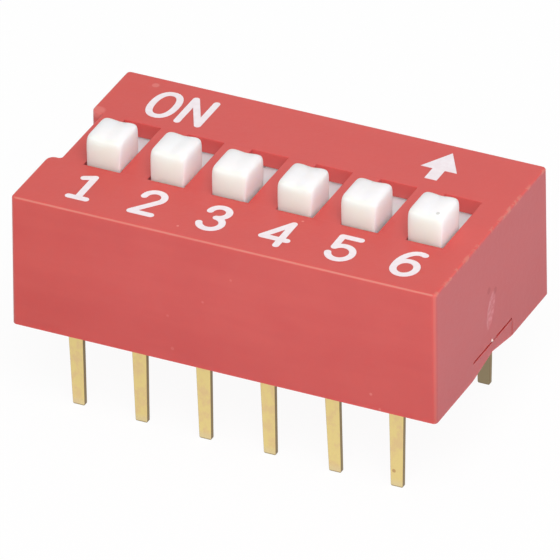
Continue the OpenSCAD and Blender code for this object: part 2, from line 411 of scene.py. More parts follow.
# Gold plate: its two tones, the pin's tip, painted shade on the inner face, the shear-cut edge
# darkened with painted shade, and a stain
GOLD_TONES = (0.80, 0.635, 0.27), (0.76, 0.56, 0.28)
TIP_GOLD = (0.72, 0.60, 0.38)
INNER_SHADE_GOLD = (0.28, 0.225, 0.135)
SHEARED_AND_SHADE_GOLD = (0.20, 0.145, 0.085)
STAIN_BROWN = (0.42, 0.20, 0.08)

# White ink: where it is thin and where it is thick
INK_TONES = (0.85, 0.76, 0.79), (0.89, 0.82, 0.85)

# Pale marks on the cover: the place, the radius and the strength of each
BLEMISHES = [
    ((-6.97, 4.31, HEIGHT), 0.17, 0.22),
    ((-8.12, 1.85, HEIGHT), 0.34, 0.2),
    ((1.92, -2.17, HEIGHT), 0.06, 0.4),
    ((-2.01, -4.28, HEIGHT), 0.06, 0.4),
    ((5.82, side_face(0.64), 0.64), 0.07, 0.22),
    ((6.17, side_face(0.1), 0.1), 0.06, 0.22),
    ((0.34, side_face(3.98), 3.98), 0.06, 0.15),
    ((-0.77, side_face(2.8), 2.8), 0.06, 0.15),
]

# Dark spots at the top of the gate mark: how far back and how high each is, and their radius
GATE_DARK_SPOTS = [(0.24, 2.72), (-0.3, 3.0)]
GATE_DARK_R = 0.17

# Grey dust on a knob's top, and painted shade where a slider's plate meets the slot's far wall: the
# place, the radius and the strength
DUST_AND_SHADE_SPECKS = [
    ((6.9, -1.5, 6.5), 0.1, 0.5),
    ((-1.36, 1.6, PLATE_TOP), 0.07, 0.8),
]

# A brown stain near the tip of front pin 6
STAIN = (6.25, -ROW_Y - STRIP_T / 2, PIN_END + 0.65)
STAIN_R = 0.09

# How squarely a surface must face a direction to begin to take the painted light and shade of that
# face, and to have it fully
FACING = (0.6, 0.95)


class Value:
    """A node's output. Sums and products of it add Math nodes."""

    def __init__(self, paint, socket):
        self.paint = paint
        self.socket = socket

    def calc(self, operation, a, b=0.0):
        return self.paint.node("ShaderNodeMath", {"operation": operation}, {0: a, 1: b})

    def __add__(self, other):
        return self.calc("ADD", self, other)

    def __sub__(self, other):
        return self.calc("SUBTRACT", self, other)

    def __rsub__(self, other):
        return self.calc("SUBTRACT", other, self)

    def __mul__(self, other):
        return self.calc("MULTIPLY", self, other)

    __radd__ = __add__
    __rmul__ = __mul__

    def least(self, other):
        return self.calc("MINIMUM", self, other)

    def most(self, other):
        return self.calc("MAXIMUM", self, other)

    def size(self):
        return self.calc("ABSOLUTE", self)

    def ramp(self, low, high, start=0.0, end=1.0):
        """Goes smoothly from start to end as the value goes from low to high."""
        return self.paint.node(
            "ShaderNodeMapRange",
            {"interpolation_type": "SMOOTHSTEP"},
            {"Value": self, "From Min": low, "From Max": high, "To Min": start, "To Max": end},
        )


class Paint:
    """The nodes of one material, or of the world."""

    def __init__(self, name, owner=None):
        self.material = owner or bpy.data.materials.new(name)
        self.material.use_nodes = True
        self.tree = self.material.node_tree
        self.tree.nodes.clear()

    def feed(self, socket, value):
        """Links a value to a socket, or sets the socket to a number, a colour or a vector."""
        if isinstance(value, Value):
            self.tree.links.new(value.socket, socket)
        elif hasattr(value, "__len__") and len(value) == 3 and socket.type == "RGBA":
            socket.default_value = (*value, 1)
        else:
            socket.default_value = value

    def node(self, kind, settings, sockets, output=0):
        """Adds a node: its settings first, then the values or links of its sockets."""
        node = self.tree.nodes.new(kind)
        for key, value in settings.items():
            setattr(node, key, value)
        for key, value in sockets.items():
            self.feed(node.inputs[key], value)
        return Value(self, node.outputs[output]) if node.outputs else None

    def place(self):
        """Object coordinates, in millimetres."""
        spot = self.node("ShaderNodeTexCoord", {}, {}, "Object")
        return self.scaled(spot, (1 / MM, 1 / MM, 1 / MM))

    def facing(self):
        """The surface's own direction, as three values."""
        return self.split(self.node("ShaderNodeTexCoord", {}, {}, "Normal"))

    def scaled(self, vector, factor):
        """A vector or a colour, with each of its parts multiplied by its own factor."""
        return self.node("ShaderNodeVectorMath", {"operation": "MULTIPLY"}, {0: vector, 1: factor})

    def split(self, vector):
        """The three parts of a vector or a colour."""
        first = self.node("ShaderNodeSeparateXYZ", {}, {0: vector})
        return [Value(self, out) for out in first.socket.node.outputs]

    def noise(self, vector, scale, detail=2.0, roughness=0.5):
        """Cloudy noise, finer with a higher scale."""
        return self.node(
            "ShaderNodeTexNoise",
            {},
            {"Vector": vector, "Scale": scale, "Detail": detail, "Roughness": roughness},
        )

    def mix(self, factor, first, second):
        """Blends two colours."""
        return self.node(
            "ShaderNodeMix", {"data_type": "RGBA"}, {0: factor, 6: first, 7: second}, 2
        )

    def spot(self, place, middle, radius):
        """1 within the radius around a point, and soft at its edge."""
        away = self.node(
            "ShaderNodeVectorMath", {"operation": "DISTANCE"}, {0: place, 1: middle}, "Value"
        )
        return away.ramp(radius * 0.6, radius, 1.0, 0.0)

    def seen(self):
        """1 where the camera sees the surface, also in a reflection or through glass."""
        first = self.node("ShaderNodeLightPath", {}, {}, "Is Camera Ray")
        path = first.socket.node.outputs
        glossy, through = (Value(self, path[f"Is {kind} Ray"]) for kind in ("Glossy", "Transmission"))
        return first.most(glossy).most(through)

    def specks(self, place, scale, share, radius):
        """Small dots in a share of the cells of a coarse grid."""
        cells = self.node(
            "ShaderNodeTexVoronoi", {}, {"Vector": place, "Scale": scale}, "Distance"
        )
        chosen = self.split(Value(self, cells.socket.node.outputs["Color"]))[0]
        return cells.ramp(radius * 0.5, radius, 1.0, 0.0) * chosen.ramp(1 - share, 1.01 - share)

    def finish(self, sockets, bump, height=0.01 * MM):
        """Ends the material in its one shader, with a bump of a height in metres."""
        sockets["Normal"] = self.node(
            "ShaderNodeBump", {}, {"Height": bump, "Distance": height, "Strength": 1.0}
        )
        shader = self.node("ShaderNodeBsdfPrincipled", {}, sockets)
        self.node("ShaderNodeOutputMaterial", {}, {"Surface": shader})
        return self.material


def edge_wear_and_highlights(paint, place, from_side, from_right, from_left, from_top):
    """Masks of the wear and painted highlights on the edges together, and of the chipped right rim
    alone.
    """
    # Painted highlight: a lighter line along the long rims of the top
    long_rim_highlight = (from_side + from_top).least(from_left + from_top) * (1 / RIM_R)
    long_rim_highlight = long_rim_highlight.ramp(0.6, 0.8, 1.0, 0.0)
    # Painted highlight along the upright corners
    corner = (from_side + from_right.least(from_left)) * (1 / CORNER_R)
    corner = corner.ramp(0.6, 0.75, 1.0, 0.0)
    chipped = paint.noise(place, 2.6, 4, 0.65).ramp(0.5, 0.62)
    right_rim = (from_right + from_top).ramp(0.09, 0.15, 1.0, 0.0) * chipped
    return (long_rim_highlight * 0.75).most(corner * 0.3).most(right_rim * 0.6), right_rim


def pale_marks(paint, place):
    """Mask of the blemishes and of fine pale specks."""
    pale = paint.specks(place, 0.55, 0.2, 0.05) * 0.12
    for middle, radius, strength in BLEMISHES:
        pale = pale.most(paint.spot(place, middle, radius) * strength)
    return pale


def gate_mark(paint, place, y, z, from_right):
    """Masks of the frosted oval where the plastic was let in, and of the dark spots at its top."""
    leaning = (y - MARK_Y - (z - MARK_Z) * MARK_TILT) * (2 / MARK_W)
    upright = (z - MARK_Z) * (2 / MARK_H)
    at_right = from_right.ramp(0.05, 0.15, 1.0, 0.0)
    oval = (leaning * leaning + upright * upright).ramp(0.5, 1.1, 1.0, 0.0) * at_right
    frost = paint.noise(place, 7, 2).ramp(0.4, 0.6, 0.4, 1.0)
    first, second = (paint.spot(place, (end_face(up), back, up), GATE_DARK_R) for back, up in GATE_DARK_SPOTS)
    return oval * frost, first.most(second)


def slit_shade_mask(y, z):
    """Mask of painted shade in the slits over the tongues, with a soft edge."""
    half = SLIT_H / 2
    in_slit = (z - TONGUE_H - half).size().ramp(half + 0.005, half + 0.01, 1.0, 0.0)
    return in_slit * (TONGUE_W / 2 - y.size()).ramp(0, 0.01)


def red_plastic(name, tones):
    """Satin moulded polyester: faint clouds, a fine grain, wear on its edges and a few blemishes,
    with painted light and shade on its faces, painted highlights on its rims and nub, and painted
    shade in its slits.
    """
    paint = Paint(name)
    place = paint.place()
    x, y, z = paint.split(place)
    across, _, up = paint.facing()
    cloud = paint.noise(place, 0.45, 3)
    streak = paint.noise(paint.scaled(place, (0.3, 1.4, 2.2)), 0.8, 2)
    grain = paint.noise(place, 14, 3, 0.6)

    drawn = z * (DRAFT / HEIGHT)
    from_side = HALF_W - y.size() - drawn
    from_right = HALF_L - x - drawn
    from_left = HALF_L + x - z * (LEFT_DRAFT / HEIGHT)
    worn_and_highlit, right_rim = edge_wear_and_highlights(paint, place, from_side, from_right, from_left, HEIGHT - z)
    gate, gate_dark = gate_mark(paint, place, y, z, from_right)
    # Painted shade in the slits over the tongues, with the dark spots at the top of the gate mark
    gate_dark_and_slit_shade = (gate_dark * 0.5).most(slit_shade_mask(y, z) * 0.25)
    # A painted highlight on the nub
    nub_highlight = paint.spot(place, NUB, NUB_R * 1.6)

    colour = paint.mix(cloud.ramp(0.3, 0.7) * 0.6 + streak.ramp(0.3, 0.7) * 0.4, *tones)
    # Painted light and shade: a deeper red on the top against its sheen, painted shade and sheen on
    # the ends, and painted shade towards the foot and towards the left
    colour = paint.mix(up.ramp(*FACING) * 0.6, colour, TOP_PAINTED_LIGHT_RED)
    colour = paint.mix(across.size().ramp(*FACING), colour, END_SHADE_AND_SHEEN_RED)
    colour = paint.mix(z.ramp(0.0, 3.5, 1.0, 0.0), colour, paint.scaled(colour, FOOT_SHADE))
    colour = paint.mix(x.ramp(-8.0, -3.0, 1.0, 0.0), colour, paint.scaled(colour, LEFT_SHADE))
    # Wear on the chipped right rim, and painted highlights along the long rims and the upright
    # corners
    colour = paint.mix(worn_and_highlit * 0.8, colour, WORN_AND_HIGHLIT_RED)
    colour = paint.mix(pale_marks(paint, place), colour, PALE_RED)
    colour = paint.mix(gate * 0.9, colour, FROSTED_RED)
    colour = paint.mix(gate_dark_and_slit_shade, colour, DARK_SPOT_AND_SHADE_RED)
    colour = paint.mix(nub_highlight * 0.85, colour, NUB_HIGHLIGHT_RED)
    gloss = 0.40 + cloud * 0.08 + grain * 0.08 + worn_and_highlit * 0.15
    bump = grain * 0.35 + paint.noise(place, 3.2, 2) * 0.9 - right_rim * 0.5
    return paint.finish(
        {
            "Base Color": colour,
            "Roughness": gloss,
            "IOR": 1.5,
            "Subsurface Weight": 0.5,
            "Subsurface Radius": (1.0, 0.25, 0.2),
            "Subsurface Scale": 0.4 * MM,
        },
        bump,
    )


def white_nylon():
    """Soft satin nylon that lets a little light through, with painted shade on its front and back
    faces and painted light on its sides.
    """
    paint = Paint("white_nylon")
    place = paint.place()
    across, along, _ = paint.facing()
    cloud = paint.noise(place, 1.3, 3)
    grain = paint.noise(place, 16, 2)
    colour = paint.mix(cloud.ramp(0.3, 0.7), *NYLON_TONES)
    # Painted shade on the faces to the front and back, and painted light on the faces to the sides
    colour = paint.mix(along.size().ramp(0.0, 0.55), colour, NYLON_FRONT_SHADE)
    colour = paint.mix(across.size().ramp(0.5, 0.95), colour, NYLON_SIDE_LIGHT)
    # Dust on a knob's top, and a spot of painted shade where a slider's plate meets the far wall
    for middle, radius, strength in DUST_AND_SHADE_SPECKS:
        colour = paint.mix(paint.spot(place, middle, radius) * strength, colour, DUST_AND_SHADE_GREY)
    return paint.finish(
        {
            "Base Color": colour,
            "Roughness": 0.42 + cloud * 0.1,
            "IOR": 1.53,
            "Subsurface Weight": 1.0,
            "Subsurface Radius": (1.0, 0.9, 0.82),
            "Subsurface Scale": 1.2 * MM,
        },
        grain * 0.3 + cloud,
    )


def gold_plate():
    """Thin satin gold over a copper alloy, with painted shade on its inner faces and on faces that
    look down, and bare shear-cut edges darkened further by painted shade.
    """
    paint = Paint("gold_plate")
    place = paint.place()
    _, y, z = paint.split(place)
    across, along, up = paint.facing()
    blotch = paint.noise(paint.scaled(place, (1.0, 1.0, 0.7)), 3.2, 4, 0.65)
    fine = paint.noise(place, 11, 3, 0.6)
    lines = paint.noise(paint.scaled(place, (30, 30, 0.8)), 1, 2)
    # Bare metal on the cut edges, darkened further by painted shade, and painted shade on faces that
    # look down
    sheared_and_shaded = across.size().most(0 - up).ramp(0.2, 0.6)
    # Painted shade on the inner faces, which look towards the middle of the housing, against their
    # own place.
    inner = (along * y).ramp(-2.5, -1.5, 1.0, 0.0)
    tip = (z - PIN_END).ramp(0.1, 0.4, 1.0, 0.0)
    burr = (z - PIN_END).ramp(0.03, 0.065, 1.0, 0.0)
    colour = paint.mix(blotch.ramp(0.42, 0.66), *GOLD_TONES)
    colour = paint.mix(tip * 0.5, colour, TIP_GOLD)
    colour = paint.mix(inner, colour, INNER_SHADE_GOLD)
    colour = paint.mix(sheared_and_shaded * 0.85, colour, SHEARED_AND_SHADE_GOLD)
    colour = paint.mix(burr * 0.6, colour, SHEARED_AND_SHADE_GOLD)
    colour = paint.mix(paint.spot(place, STAIN, STAIN_R) * 0.6, colour, STAIN_BROWN)
    gloss = 0.33 + fine * 0.12 + blotch * 0.08 + sheared_and_shaded * 0.15
    bump = fine * 0.5 + lines * 0.4 + blotch * 0.6
    return paint.finish({"Base Color": colour, "Roughness": gloss, "Metallic": 1.0}, bump)


def print_ink():
    """White ink, thin enough for a little of the red to show through."""
    paint = Paint("print_ink")
    place = paint.place()
    thick = paint.noise(place, 5, 3, 0.6).ramp(0.35, 0.7)
    return paint.finish(
        {"Base Color": paint.mix(thick, *INK_TONES), "Roughness": 0.45 + thick * 0.1},
        paint.noise(place, 12, 2),
        0.004 * MM,
    )


# ---------------------------------------------------------------- pieces


def wedge(x, side, gap):
    """A latch nose on a long side of the base, or the room for it with a gap around it."""
    foot = CAVITY_Y - FIT_GAP
    low = NOSE_Z - NOSE_LEAD - gap
    high = NOSE_Z + NOSE_H + gap
    half = NOSE_L / 2 + gap
    nose = block((x - half, foot - LAP, low), (x + half, foot + NOSE_H + gap, high), "nose")
    pick(nose, "FACE", lambda middle, normal: normal.y > 0.9)
    bpy.ops.transform.resize(value=(1, 1, NOSE_RIDGE))
    bpy.ops.transform.translate(value=(0, 0, NOSE_Z - (low + high) / 2))
    done()
    if side < 0:
        activate(nose)
        nose.rotation_euler = (0, 0, math.pi)
        nose.location.x = 2 * x
        bpy.ops.object.transform_apply(location=True, rotation=True, scale=True)
    return nose


def latch_noses(gap):
    """Two latch noses on each long side."""
    return [wedge(x, side, gap) for x in (-PITCH, PITCH) for side in (-1, 1)]


def leaning_box():
    """The cover's outside before its notch: a box that is drawn in towards its top."""
    box = block((-HALF_L, -HALF_W, 0), (HALF_L, HALF_W, HEIGHT))
    pick(box, "FACE", faces_up)
    shrink = (LEFT_DRAFT + DRAFT) / 2
    bpy.ops.transform.resize(value=(1 - shrink / HALF_L, 1 - DRAFT / HALF_W, 1))
    bpy.ops.transform.translate(value=((LEFT_DRAFT - DRAFT) / 2, 0, 0))
    done()
    return box


def notch_room():
    """Room for the key notch, which leans with the left end and reaches out of the cover."""
    half = NOTCH_W / 2
    notch = block((-HALF_L - OVER, -half, 0), (NOTCH_END, half, HEIGHT))
    pick(notch, "FACE", faces_up)
    bpy.ops.transform.translate(value=(LEFT_DRAFT, 0, 0))
    done()
    for z, way in ((0, -1), (HEIGHT, 1)):
        pick(notch, "FACE", lambda middle, normal: abs(middle.z - z) < NEAR)
        bpy.ops.mesh.extrude_region_move(TRANSFORM_OT_translate={"value": (0, 0, way * OVER)})
        done()
    return notch


def round_outside(cover):
    """Rounds the notch, the upright corners, the rim of the top and the lower edges."""

    def in_notch(a, b):
        inside = abs(a.y) < NOTCH_W / 2 + NEAR and a.x < NOTCH_END + LEFT_DRAFT + NEAR
        return inside and is_upright(a, b)

    def at_mouth(a, b):
        return in_notch(a, b) and a.x < NOTCH_END - NOTCH_DEPTH / 2

    round_edges(cover, at_mouth, NOTCH_R, 6)
    round_edges(cover, lambda a, b: in_notch(a, b) and a.x > NOTCH_END - NEAR, NOTCH_IN_R, 4)
    round_edges(cover, lambda a, b: abs(a.y) > HALF_W / 2 and is_upright(a, b), CORNER_R, 6)
    round_edges(cover, lambda a, b: at_height(a, b, HEIGHT), RIM_R, 5)
    round_edges(cover, lambda a, b: at_height(a, b, 0), FOOT_R, 2)


def slot_rooms():
    """Room for the six slots, from the cavity up through the top."""
    rooms = []
    for i in range(COUNT):
        x = slot_x(i)
        low = (x - SLOT_W / 2, SLOT_SHIFT - SLOT_L / 2, CEILING - LAP)
        high = (x + SLOT_W / 2, SLOT_SHIFT + SLOT_L / 2, HEIGHT + OVER)
        rooms.append(block(low, high))
    return rooms


def along_slit(a, b):
    """Passes the edges at the slits' top that run from the front to the back."""
    return at_height(a, b, SLIT_TOP) and abs(a.y - b.y) < NEAR


def window_rooms():
    """Room for the base's tongues and the slits over them, in both ends."""
    half = TONGUE_W / 2 - OVERLAP
    rooms = [
        block((NOTCH_END - LAP / 2, -half, -OVER), (CAVITY_LEFT + LAP, half, SLIT_TOP)),
        block((CAVITY_RIGHT - LAP, -half, -OVER), (HALF_L + OVER, half, SLIT_TOP)),
    ]
    for room in rooms:
        round_edges(room, along_slit, SLIT_H, 3)
    return rooms


def around_slot(a, b):
    """Passes the edges around the slots, in the cover's top."""
    return at_height(a, b, HEIGHT) and max(abs(a.x), abs(b.x)) < CAVITY_RIGHT


def cover_piece():
    """The moulded cover: a leaning box with its notch, rounded edges, cavity and slots."""
    cover = cut(leaning_box(), notch_room())
    round_outside(cover)
    cavity = block((CAVITY_LEFT, -CAVITY_Y, -OVER), (CAVITY_RIGHT, CAVITY_Y, CEILING))
    cut(cover, cavity, *slot_rooms())
    round_edges(cover, around_slot, SLOT_RIM_R, 2)
    cut(cover, *window_rooms(), gate_dip(), *latch_noses(FIT_GAP))
    return add(cover, *gate_rest())


def gate_dip():
    """A very shallow oval dip where the plastic was let in, on the right end."""
    pick_none()
    middle = (end_face(MARK_Z) + MARK_R - MARK_DEPTH, MARK_Y, MARK_Z)
    bpy.ops.mesh.primitive_uv_sphere_add(segments=40, ring_count=20, radius=1, location=middle)
    stretch = MARK_R / math.sqrt(2 * MARK_R * MARK_DEPTH)
    dip = bpy.context.object
    dip.scale = (MARK_R, MARK_W / 2 * stretch, MARK_H / 2 * stretch)
    dip.rotation_euler = (-math.atan(MARK_TILT), 0, 0)
    return placed("dip")


def gate_rest():
    """A nub over the right tongue where the gate was ripped off, with a skin of plastic that bridges
    the slit.
    """
    x, y, z = NUB
    pick_none()
    bpy.ops.mesh.primitive_uv_sphere_add(segments=20, ring_count=12, radius=NUB_R, location=NUB)
    nub = placed("nub")
    low = (x - SKIN_IN, y - SKIN_FRONT, TONGUE_H + SKIM_GAP)
    skin = block(low, (x - SKIN_OUT, y + SKIN_BACK, z))
    return [nub, skin]


def knob_shape(x, y, top):
    """A soft knob: it flares to its head, is lightly dished, and gets rounder upwards."""
    root = PLATE_TOP - KNOB_ROOT
    head = top - HEAD_H
    half_w = KNOB_W / 2
    half_l = KNOB_L / 2
    knob = block((x - half_w, y - half_l, root), (x + half_w, y + half_l, top))
    planes = [((x + s * (half_w - FOOT_EDGE), 0, 0), (1, 0, 0)) for s in (-1, 1)]
    planes += [((x, 0, 0), (1, 0, 0))]
    planes += [((0, y + s * (half_l - FOOT_EDGE), 0), (0, 1, 0)) for s in (-1, 1)]
    planes += [((0, 0, z), (0, 0, 1)) for z in (head, HEIGHT + FIT_GAP, root + LAP)]
    for point, way in planes:
        pick(knob, "FACE", anything)
        bpy.ops.mesh.bisect(plane_co=point, plane_no=way)
        done()

    def draw_in(z, edge):
        """Moves the loops beside the upright edges to a new distance from them on one level."""
        for axis, middle, half in ((0, x, half_w), (1, y, half_l)):

            def beside(p):
                return abs(p.z - z) < NEAR and NEAR < abs(p[axis] - middle) < half - NEAR

            pick(knob, "VERT", beside)
            factor = (half - edge) / (half - FOOT_EDGE)
            value = (factor, 1, 1) if axis == 0 else (1, factor, 1)
            bpy.ops.transform.resize(value=value, center_override=(x, y, z))
            done()

    draw_in(head, HEAD_EDGE)
    draw_in(top, TOP_EDGE)
    pick(knob, "VERT", lambda p: p.z > head - NEAR)
    bpy.ops.transform.resize(value=(1 + KNOB_FLARE / half_w, 1, 1), center_override=(x, y, top))
    done()
    still_top = top - DISH_DEPTH - NEAR
    for reach, depth in ((half_w - DISH_RIM, DISH_DEPTH), (NEAR, LINE_DEPTH)):
        pick(knob, "VERT", lambda p: p.z > still_top and abs(p.x - x) < reach)
        bpy.ops.transform.translate(value=(0, 0, -depth))
        done()
    pick(knob, "VERT", lambda p: p.z > top - HEAD_H / 2 and p.y < y - half_l + NEAR)
    bpy.ops.transform.translate(value=(0, LIP_BACK, -LIP_DOWN))
    done()
    apply_step(knob, "SUBSURF", levels=3, render_levels=3)
    return knob


def slider_piece():
    """Slider 1: its knob on a plate, with two runners and a peg for the spring."""
    x = slot_x(0)
    y = SLIDER_Y
    knob = knob_shape(x, y, PLATE_HIGH.z)
    surface = CEILING - SKIM_GAP
    plate = block((PLATE_LOW.x, PLATE_LOW.y, PLATE_UNDER), (PLATE_HIGH.x, PLATE_HIGH.y, surface))
    round_edges(plate, anything, PLATE_R, 2)
    peg_middle = (x, y, PLATE_UNDER - PEG_H / 2 + LAP / 2)
    parts = [plate, rod(PEG_R, PEG_H + LAP, peg_middle, sides=24)]
    for low_x in (PLATE_LOW.x, PLATE_HIGH.x - RUNNER_T):
        runner = block(
            (low_x, y - RUNNER_L / 2, PLATE_LOW.z),
            (low_x + RUNNER_T, y + RUNNER_L / 2, PLATE_UNDER + LAP),
        )
        round_edges(runner, lambda a, b: at_height(a, b, PLATE_LOW.z), RUNNER_R, 2)
        parts.append(runner)
    return add(knob, *parts)


def terminal_piece(i, side):
    """Terminal i: a pad, a round bend, a wide shank, shoulders and a tapered pin."""
    mid = STRIP_T / 2
    bend = BEND_R + mid
    pad_z = FLOOR_T - mid
    y = side * ROW_Y
    bend_y = y - side * bend
    inner_y = FRONT_HIGH.y if side < 0 else REAR_LOW.y
    pick_none()
    bpy.ops.mesh.primitive_plane_add(size=1, location=(slot_x(i), (bend_y + inner_y) / 2, pad_z))
    bpy.context.object.scale = (PAD_W, abs(bend_y - inner_y), 1)
    strip = placed("strip")

    def end_edge(z, at=y):
        return lambda a, b: at_height(a, b, z) and max(abs(a.y - at), abs(b.y - at)) < NEAR

    def pull(z, shift):
        """Draws the strip on from its end edge, which is at the height z."""
        pick(strip, "EDGE", end_edge(z))
        bpy.ops.mesh.extrude_region_move(TRANSFORM_OT_translate={"value": (0, 0, shift)})

    pick(strip, "EDGE", end_edge(pad_z, bend_y))
    bpy.ops.mesh.spin(
        steps=6, angle=side * math.pi / 2, center=(0, bend_y, pad_z - bend), axis=(1, 0, 0)
    )
    done()
    pull(pad_z - bend, LEDGE_Z - pad_z + bend)
    done()
    pull(LEDGE_Z, -SHOULDER_H)
    bpy.ops.transform.resize(value=(PIN_W / PAD_W, 1, 1))
    bpy.ops.transform.translate(value=(pin_x(i) - slot_x(i), 0, 0))
    done()
    pull(LEDGE_Z - SHOULDER_H, SHOULDER_H - LEDGE_Z)
    done()
    pull(0, PIN_END)
    bpy.ops.transform.resize(value=(PIN_TIP_W / PIN_W, 1, 1))
    done()
    pick(strip, "VERT", lambda p: abs(p.z - PIN_END) < NEAR)
    bpy.ops.mesh.bevel(offset=PIN_TIP_R, segments=4, affect="VERTICES")
    done()
    apply_step(strip, "SOLIDIFY", thickness=STRIP_T, offset=0, use_even_offset=True)
    sharp = math.radians(50)
    apply_step(strip, "BEVEL", width=STRIP_R, segments=4, limit_method="ANGLE", angle_limit=sharp)
    return strip


def lean(strip, right, back):
    """Leans a pin: its tip moves, and the pin follows from the seating face down."""
    pick(strip, "VERT", lambda p: p.z < PIN_END + 2 * PIN_TIP_R)
    bpy.ops.transform.translate(value=(right, back, 0))
    done()


def seat_room(i, side):
    """Room in the base for one terminal: its pad, bend, shank, pin and sealing pocket."""
    inner = side * (FRONT_HIGH.y if side < 0 else REAR_LOW.y)
    pad = PAD_W / 2 + FIT_GAP
    half = STRIP_T / 2 + FIT_GAP
    pocket = STRIP_T / 2 + POCKET_GAP
    bend = ROW_Y - STRIP_T / 2 - BEND_R - FIT_GAP
    above = FLOOR_T + OVER
    rooms = [
        (slot_x(i), pad, inner - FIT_GAP, ROW_Y + half, FLOOR_T - STRIP_T, above),
        (slot_x(i), pad, bend, ROW_Y + half, FLOOR_T - STRIP_T - BEND_R, above),
        (slot_x(i), pad, ROW_Y - half, ROW_Y + half, LEDGE_Z, above),
        (pin_x(i), PIN_W / 2 + FIT_GAP, ROW_Y - half, ROW_Y + half, -OVER, LEDGE_Z + LAP),
        (pin_x(i), PIN_W / 2 + POCKET_GAP, ROW_Y - pocket, ROW_Y + pocket, -OVER, POCKET_H),
    ]
    tools = []
    for x, wide, near, far, low, high in rooms:
        y_low, y_high = sorted((side * near, side * far))
        tools.append(block((x - wide, y_low, low), (x + wide, y_high, high)))
    return tools


def base_piece():
    """The moulded base: its floor, ribs, tongues and noses, less the terminals' seats."""
    edge_y = CAVITY_Y - FIT_GAP
    left = CAVITY_LEFT + FIT_GAP
    right = CAVITY_RIGHT - FIT_GAP
    base = block((left, -edge_y, 0), (right, edge_y, FLOOR_T))
    round_edges(base, lambda a, b: at_height(a, b, 0), BASE_R, 2)
    parts = [block((BASE_LOW.x, -TONGUE_W / 2, 0), (BASE_HIGH.x, TONGUE_W / 2, TONGUE_H))]
    for i in range(COUNT - 1):
        x = slot_x(i) + PITCH / 2
        low = (x - RIB_T / 2, -edge_y, FLOOR_T - LAP)
        parts.append(block(low, (x + RIB_T / 2, edge_y, PLATE_TOP)))
    add(base, *parts, *latch_noses(0))
    tools = [tool for i in range(COUNT) for side in (-1, 1) for tool in seat_room(i, side)]
    for end in (BASE_LOW.x, BASE_HIGH.x):
        arch = block((end - ARCH_DEPTH, -ARCH_HALF, -OVER), (end + ARCH_DEPTH, ARCH_HALF, 0))
        pick(arch, "FACE", faces_up)
        bpy.ops.mesh.bisect(plane_co=(end, 0, 0), plane_no=(0, 1, 0))
        done()
        pick(arch, "VERT", lambda p: abs(p.z) < NEAR and abs(p.y) < NEAR)
        bpy.ops.transform.translate(value=(0, 0, ARCH_H))
        done()
        tools.append(arch)
    for x in (-2, 0, 2):
        tools.append(rod(EJECTOR_R, 2 * EJECTOR_DEPTH, (x * PITCH, 0, 0)))
    return cut(base, *tools)


# ---------------------------------------------------------------- print

# Width of a stroke, thickness of the ink and its middle height, and the degrees of an arc
# between two of its points
PEN = 0.26
INK_T = 0.012
INK_Z = HEIGHT + INK_T / 2
ARC_STEP = 12

# The letters' places, the row of the numbers, and how far they are to the right of their slots
LETTERS = [("O", -6.07, 3.16), ("N", -4.77, 3.155)]
DIGIT_Y = -3.27
DIGIT_SHIFT = 0.08

# The arrow's place, and from there its stem's two ends and the middle of its head
ARROW_X = 4.86
ARROW_Y = 3.25
STEM_W = 0.48
STEM_BACK = 0.2
STEM_FRONT = 0.9
ARROWHEAD_R = 0.82
ARROWHEAD_BACK = 0.24


def arc(x, y, rx, ry, start, end, power=2.0):
    """Points along part of an oval, from one angle to another. A higher power is squarer."""
    steps = max(6, round(abs(end - start) / ARC_STEP))
    points = []
    for k in range(steps + 1):
        angle = math.radians(start + (end - start) * k / steps)
        c, s = math.cos(angle), math.sin(angle)
        points.append(
            (
                x + rx * math.copysign(abs(c) ** (2 / power), c),
                y + ry * math.copysign(abs(s) ** (2 / power), s),
            )
        )
    return points


# Each sign is a list of strokes, and each stroke a line of points around the sign's middle.
SIGNS = {
    "1": [
        [(0.01, 0.77), (0.01, -0.72)],
        [(-0.36, 0.6), (0.01, 0.77)],
        [(-0.34, -0.72), (0.34, -0.72)],
    ],
    "2": [
        arc(-0.01, 0.39, 0.38, 0.38, 183, -38) + [(-0.43, -0.73)],
        [(-0.43, -0.75), (0.38, -0.75)],
    ],
    "3": [arc(0.02, 0.41, 0.36, 0.36, 180, -80), arc(0.02, -0.36, 0.42, 0.41, 85, -165)],
    "4": [
        [(0.24, 0.77), (-0.5, -0.37)],
        [(-0.5, -0.37), (0.48, -0.37)],
        [(0.24, 0.77), (0.24, -0.78)],
    ],
    "5": [
        [(0.34, 0.74), (-0.37, 0.74)],
        [(-0.37, 0.74), (-0.36, -0.02)],
        arc(0, -0.31, 0.444, 0.47, 143, -163),
    ],
    "6": [arc(0.13, -0.15, 0.58, 0.92, 72, 186), arc(-0.02, -0.31, 0.42, 0.47, 0, 360)],
    "O": [arc(0, 0, 0.455, 0.82, 0, 360, 2.3)],
    "N": [
        [(-0.41, -0.82), (-0.41, 0.82)],
        [(-0.41, 0.82), (0.41, -0.82)],
        [(0.41, -0.82), (0.41, 0.82)],
    ],
}


def pen_outline():
    """The cross-section of a stroke of ink."""
    shape = bpy.data.curves.new("pen", "CURVE")
    shape.dimensions = "2D"
    spline = shape.splines.new("POLY")
    spline.points.add(3)
    corners = [(-1, -1), (1, -1), (1, 1), (-1, 1)]
    for point, (sx, sy) in zip(spline.points, corners):
        point.co = (sx * PEN / 2, sy * INK_T / 2, 0, 1)
    spline.use_cyclic_u = True
    pen = bpy.data.objects.new("pen", shape)
    bpy.context.scene.collection.objects.link(pen)
    return pen


